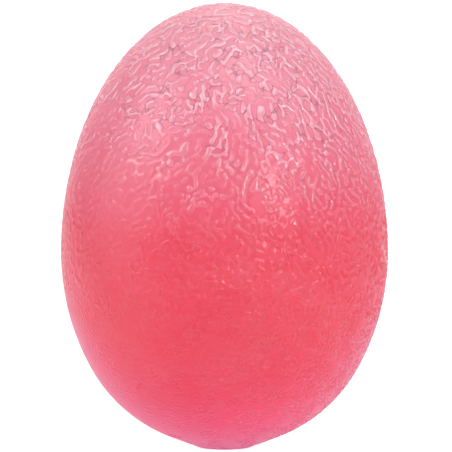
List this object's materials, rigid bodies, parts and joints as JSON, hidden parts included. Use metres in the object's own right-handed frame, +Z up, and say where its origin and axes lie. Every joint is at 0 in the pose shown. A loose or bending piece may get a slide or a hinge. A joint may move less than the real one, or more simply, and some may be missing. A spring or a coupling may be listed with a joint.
{
  "type": "finger exerciser",
  "caption": "Egg-shaped soft squeeze exerciser: a grained translucent rubber skin round a soft gel core, closed by a flat plug in its base that it stands on.",
  "frame": {"origin": "centre of the flat face in the base that the egg stands on", "axes": "+Z up the egg's long axis, from the foot to the crown; the egg is round about it, so +X and +Y are any two level directions"},
  "size_m": [0.045, 0.045, 0.0612],
  "materials": {
    "skin": "translucent coral-pink soft rubber with a glossy moulded wrinkle grain",
    "gel": "smooth saturated soft gel",
    "plug": "smooth satin soft rubber"
  },
  "bodies": {
    "shell": {"grip_skin": "skin", "base_plug": "plug"},
    "core": {"gel_core": "gel"}
  },
  "joints": [
    {"name": "squeeze", "type": "slide", "parent": "shell", "child": "core", "axis": [0, 0, -1], "range_m": [0, 0.0089], "stiffness_N_per_m": 23000, "deforming": ["gel_core"]}
  ]
}
